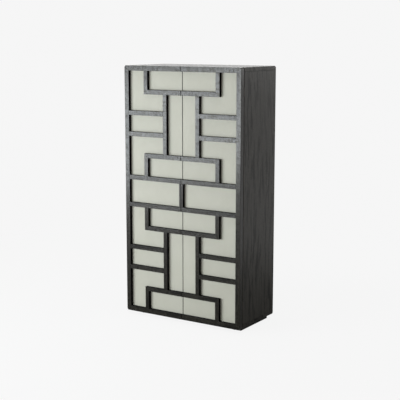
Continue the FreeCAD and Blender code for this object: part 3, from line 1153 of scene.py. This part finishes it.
@dataclass
class HingeSet:
    """The four lift-off hinges of one door, with their screws.

    Attributes:
        side: The door's side.
        heights: The heights of the hinges' middles.
        door_seats: The screws in a right door leaf, from its hinge's height.
        plate_seats: Those in the front plate of its side leaf.
        flange_seats: Those in the flange of its side leaf, inside the carcass.
        leaf_screw: The shape of the heads in the door leaf and the plate.
        flange_screw: The shape of the heads in the flange.
    """

    side: Side
    heights: Sequence[float] = (0.19958, 0.80792, 1.11208, 1.72042)
    door_seats: Sequence[Place] = (
        (0.4905, -0.2054, -0.024),
        (0.4845, -0.2054, -0.008),
        (0.4845, -0.2054, 0.008),
        (0.4905, -0.2054, 0.024),
    )
    plate_seats: Sequence[Place] = (
        (0.4875, -0.2046, -0.016),
        (0.4875, -0.2046, 0.016),
    )
    flange_seats: Sequence[Place] = (
        (0.4734, -0.192, -0.022),
        (0.4734, -0.176, 0.0),
        (0.4734, -0.192, 0.022),
    )
    leaf_screw: ScrewHead = ScrewHead()
    flange_screw: ScrewHead = ScrewHead(proud=0.0004)

    def build(self) -> None:
        """Dresses the leaves and pins, and puts in the screws."""
        side, sign = self.side.value, self.side.sign
        dress(f"{side}_hinge_door_leaves", HINGE_STEEL.material)
        dress(f"{side}_hinge_side_leaves", HINGE_STEEL.material)
        dress(f"{side}_hinge_pins", PIN_STEEL.material)
        for name, body, facing, row, head in (
            ("door", f"{side}_door", (0, 1, 0), self.door_seats, self.leaf_screw),
            ("plate", "carcass", (0, -1, 0), self.plate_seats, self.leaf_screw),
            ("flange", "carcass", (-sign, 0, 0), self.flange_seats, self.flange_screw),
        ):
            seats = [(sign * x, y, mid + z) for mid in self.heights for x, y, z in row]
            Screws(f"{side}_hinge_{name}_screws", body, facing, seats, head).build()


@dataclass
class PushLatch:
    """The push latch of one door, with its coil spring and its strike plate.

    Attributes:
        side: The door's side.
        offset: How far from the middle of the front the latch's axis lies.
        height: The height of its axis.
        spring_span: Where the spring begins and ends along Y.
        spring_radius: The spring's outer radius.
        wire_radius: The radius of its wire.
        wire_lean: How far the wire leans from straight across, in degrees.
        wire_sides: How many sides the wire has.
        turns: How many turns the spring has.
        turn_steps: How many steps make up a turn.
        travel: How far the plunger goes in; not used.
        housing_bottom: The height of the housing's lower face.
        housing_holes: Its screws, sideways from the axis and along Y.
        housing_screw: The shape of their heads.
        collar_span: Where the collar begins and ends along Y.
        collar_radii: Its inner and outer radius.
        collar_bevel: The bevel at its mouth.
        collar_steps: How many sides it has.
        strike_face: Where the strike plate's face lies along Y.
        strike_hole: How far its screws lie from its middle, sideways and up.
        strike_screw: The shape of their heads.
    """

    side: Side
    offset: float = 0.028
    height: float = 0.9395
    spring_span: Span = (-0.1601, -0.1361)
    spring_radius: float = 0.0032
    wire_radius: float = 0.0004
    wire_lean: float = 1.5
    wire_sides: int = 8
    turns: int = 11
    turn_steps: int = 16
    travel: float = 0.0025
    housing_bottom: float = 0.9315
    housing_holes: Sequence[Span] = (
        (-0.0064, -0.1965),
        (0.0064, -0.1965),
        (0.0, -0.1336),
    )
    housing_screw: ScrewHead = ScrewHead(radius=0.0023, proud=0.0005)
    collar_span: Span = (-0.2021, -0.201)
    collar_radii: Span = (0.0043, 0.0068)
    collar_bevel: float = 0.0003
    collar_steps: int = 40
    strike_face: float = -0.2058
    strike_hole: float = 0.008
    strike_screw: ScrewHead = ScrewHead(radius=0.0024)

    @property
    def middle(self) -> float:
        """Where the latch's axis lies along X."""
        return self.side.sign * self.offset

    def build(self) -> None:
        """Dresses the latch and adds its spring, collar and screws."""
        side, x, hole = self.side.value, self.middle, self.strike_hole
        for part, finish in {
            "latch_housing": LATCH_PLASTIC,
            "latch_plunger": LATCH_PLASTIC,
            "latch_magnet": PLATED_STEEL,
            "door_strike_plate": PLATED_STEEL,
        }.items():
            dress(f"{side}_{part}", finish.material)
        self.spring()
        self.collar()
        housing = [(x + off, y, self.housing_bottom) for off, y in self.housing_holes]
        strike = [
            (x + off, self.strike_face, self.height - off) for off in (-hole, hole)
        ]
        for name, body, facing, seats, head in (
            ("latch", "carcass", (0, 0, -1), housing, self.housing_screw),
            ("strike", f"{side}_door", (0, 1, 0), strike, self.strike_screw),
        ):
            name = f"{side}_{name}_screws"
            Screws(name, body, facing, seats, head, PLATED_STEEL).build()

    def spring(self) -> None:
        """Winds the coil spring behind the plunger."""
        side, wire = self.side.value, self.wire_radius
        low, high = self.spring_span
        coil = bmesh.new()
        start = (self.middle + self.spring_radius - wire, low + wire, self.height)
        lean = Matrix.Rotation(math.radians(self.wire_lean), 4, "X")
        ring = bmesh.ops.create_circle(
            coil,
            cap_ends=False,
            segments=self.wire_sides,
            radius=wire,
            matrix=Matrix.Translation(start) @ lean,
        )["verts"]
        steps = self.turns * self.turn_steps
        bmesh.ops.spin(
            coil,
            geom=ring + coil.edges[:],
            cent=(self.middle, low, self.height),
            axis=(0, 1, 0),
            dvec=(0, (high - low - 2 * wire) / steps, 0),
            angle=math.tau * self.turns,
            steps=steps,
        )
        ends = [edge for edge in coil.edges if edge.is_boundary]
        bmesh.ops.holes_fill(coil, edges=ends, sides=0)
        piece = new_piece(f"{side}_latch_coil_spring", coil, PLATED_STEEL, "carcass")
        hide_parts(f"{side}_latch_spring")
        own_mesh(piece)

    def collar(self) -> None:
        """Turns the collar that guides the plunger at the mouth of the housing."""
        front, back = self.collar_span
        inner, outer = self.collar_radii
        ring = bmesh.new()
        corners = ((inner, back), (outer, back), (outer, front), (inner, front))
        verts = [
            ring.verts.new((self.middle + radius, depth, self.height))
            for radius, depth in corners
        ]
        ring.faces.new(verts)
        bmesh.ops.bevel(
            ring,
            geom=verts[2:],
            offset=self.collar_bevel,
            offset_type="OFFSET",
            segments=2,
            profile=0.5,
            affect="VERTICES",
            material=-1,
        )
        bmesh.ops.delete(ring, geom=ring.faces[:], context="FACES_ONLY")
        bmesh.ops.spin(
            ring,
            geom=ring.verts[:] + ring.edges[:],
            cent=(self.middle, front, self.height),
            axis=(0, 1, 0),
            angle=math.tau,
            steps=self.collar_steps,
            use_merge=True,
        )
        new_piece(f"{self.side.value}_latch_collar", ring, LATCH_PLASTIC, "carcass")


@dataclass
class Softbox:
    """A soft lamp that looks at a point.

    Attributes:
        name: The lamp's name.
        place: Where it hangs.
        aim: Where it looks.
        size: Its width and height.
        radiance: How bright its face is.
        tint: The colour of its light.
        roll: How far it is turned about its own gaze, in degrees.
    """

    name: str
    place: Place
    aim: Place
    size: Span
    radiance: float
    tint: Rgb = (1.0, 1.0, 1.0)
    roll: float = 0.0

    def build(self) -> None:
        """Hangs the lamp, out of the camera's sight."""
        lamp = bpy.data.lights.new(self.name, "AREA")
        lamp.color = self.tint
        lamp.shape = "RECTANGLE"
        lamp.size, lamp.size_y = self.size
        lamp.energy = self.radiance * math.pi * lamp.size * lamp.size_y
        holder = bpy.data.objects.new(self.name, lamp)
        holder.location = self.place
        gaze = Vector(self.aim) - Vector(self.place)
        aimed = gaze.to_track_quat("-Z", "Y").to_matrix()
        rolled = aimed @ Matrix.Rotation(math.radians(self.roll), 3, "Z")
        holder.rotation_euler = rolled.to_euler()
        holder.visible_camera = False
        bpy.context.scene.collection.objects.link(holder)
        log.info("%s: lamp of %.0f W", self.name, lamp.energy)


@dataclass
class Studio:
    """The pale floor, the lamps and the camera.

    Attributes:
        pale: The colour of the backdrop, and of the floor far away.
        floor_colour: The floor's colour where it takes the shadow.
        floor_roughness: Its roughness there.
        floor_shine: Its specular level there.
        floor_reach: How far it goes from the middle.
        shadow_span: From how far away the shadow fades, and where it is gone.
        mirror_span: From how far away the floor shows pale in gloss, and where in full.
        shadow_share: How much of the shadow shows near the cabinet.
        near_glow: How bright the pale floor is near the cabinet.
        ambient: The strength of the plain fill light.
        camera_place: Where the camera stands.
        camera_pitch: How far it looks up, in degrees.
        camera_yaw: How far it is turned to the left, in degrees.
        focal_pixels: Its focal length, in the photograph's pixels.
        frame_pixels: The photograph's width, in pixels.
        sensor_width: Its sensor's width, in millimetres.
        clip: The nearest and farthest that it sees.
        lamps: The soft lamps.
    """

    pale: Rgb = (0.92, 0.92, 0.92)
    floor_colour: Rgb = (0.7, 0.7, 0.69)
    floor_roughness: float = 0.9
    floor_shine: float = 0.1
    floor_reach: float = 60.0
    shadow_span: Span = (1.2, 3.6)
    mirror_span: Span = (1.3, 3.4)
    shadow_share: float = 0.12
    near_glow: float = 1.09
    ambient: float = 0.2
    camera_place: Place = (3.8492, -5.944, 2.093)
    camera_pitch: float = -9.61
    camera_yaw: float = 32.892
    focal_pixels: float = 961.08
    frame_pixels: float = 400.0
    sensor_width: float = 36.0
    clip: Span = (0.05, 200.0)
    lamps: Sequence[Softbox] = field(
        default_factory=lambda: [
            Softbox(
                "key_softbox",
                place=(-2.72, -4.36, 1.09),
                aim=(0.05, -0.25, 1.22),
                size=(3.9, 1.46),
                radiance=13.6,
                tint=(0.895, 0.95, 1.0),
                roll=8.5,
            ),
            Softbox("top_softbox", (0.2, -0.6, 4.2), (0.0, 0.0, 0.9), (2.2, 2.2), 1.8),
            Softbox("rear_softbox", (2.3, 3.2, 2.3), (0.2, 0.1, 1.4), (1.6, 1.2), 1.5),
            Softbox("back_softbox", (-2.9, 4.6, 2.9), (0.0, 0.0, 1.9), (3.0, 1.8), 1.2),
        ]
    )

    def build(self) -> None:
        """Sets up the floor, the backdrop, the lamps and the camera."""
        self.floor()
        self.backdrop()
        for lamp in self.lamps:
            lamp.build()
        self.camera()
        bpy.context.scene.view_settings.view_transform = "Standard"

    def floor(self) -> None:
        """Lays the pale floor, which keeps the cabinet's shadow near it."""
        g = Surface("pale_floor")
        g.put("Base Color", (*self.floor_colour, 1.0))
        g.put("Roughness", self.floor_roughness)
        g.put("Specular IOR Level", self.floor_shine)
        away = g.length(g.place())
        glow = {
            "Color": (*self.pale, 1.0),
            "Strength": g.rise(away, *self.shadow_span, self.near_glow, 1.0),
        }
        pale = g.add("ShaderNodeEmission", glow).outputs[0]
        seen = g.rise(away, *self.shadow_span, 1.0 - self.shadow_share, 1.0)
        mirrored = g.rise(away, *self.mirror_span)
        path = g.add("ShaderNodeLightPath").outputs
        glossy = g.math("MAXIMUM", path["Is Glossy Ray"], path["Is Transmission Ray"])
        seen = g.math("MULTIPLY", seen, path["Is Camera Ray"])
        share = g.math("MAXIMUM", seen, g.math("MULTIPLY", mirrored, glossy))
        parts = {0: share, 1: g.shader.outputs[0], 2: pale}
        mixed = g.add("ShaderNodeMixShader", parts).outputs[0]
        g.feed(g.output.inputs["Surface"], mixed)
        shape = bmesh.new()
        bmesh.ops.create_grid(shape, x_segments=1, y_segments=1, size=self.floor_reach)
        floor = link_mesh("floor", shape, g.material)

    def backdrop(self) -> None:
        """Makes the world pale to the eye and a plain fill light to the cabinet."""
        world = bpy.data.worlds.new("studio")
        bpy.context.scene.world = world
        world.use_nodes = True
        g = Graph(world.node_tree)
        path = g.add("ShaderNodeLightPath").outputs
        seen = g.math("MAXIMUM", path["Is Camera Ray"], path["Is Glossy Ray"])
        seen = g.math("MAXIMUM", seen, path["Is Transmission Ray"])
        white = {"Color": (1.0, 1.0, 1.0, 1.0), "Strength": self.ambient}
        fill = g.add("ShaderNodeBackground", white).outputs[0]
        pale = g.add("ShaderNodeBackground", {"Color": (*self.pale, 1.0)}).outputs[0]
        mixed = g.add("ShaderNodeMixShader", {0: seen, 1: fill, 2: pale}).outputs[0]
        g.add("ShaderNodeOutputWorld", {"Surface": mixed})

    def camera(self) -> None:
        """Sets the camera to the photograph's angle and framing."""
        data = bpy.data.cameras.new("camera")
        data.sensor_width = self.sensor_width
        data.lens = self.sensor_width * self.focal_pixels / self.frame_pixels
        data.clip_start, data.clip_end = self.clip
        camera = bpy.data.objects.new("camera", data)
        camera.location = self.camera_place
        level = math.radians(90.0)
        pitch, yaw = math.radians(self.camera_pitch), math.radians(self.camera_yaw)
        camera.rotation_euler = (level + pitch, 0.0, yaw)
        bpy.context.scene.collection.objects.link(camera)
        bpy.context.scene.camera = camera


def main() -> None:
    """Builds the cabinet's looks and the studio round it."""
    logging.basicConfig(level=logging.INFO, format="%(name)s: %(message)s")
    Carcass().build()
    Plinth().build()
    for side in Side:
        LatticeDoor(side).build()
        HingeSet(side).build()
        PushLatch(side).build()
    Studio().build()


if __name__ == "__main__":
    main()
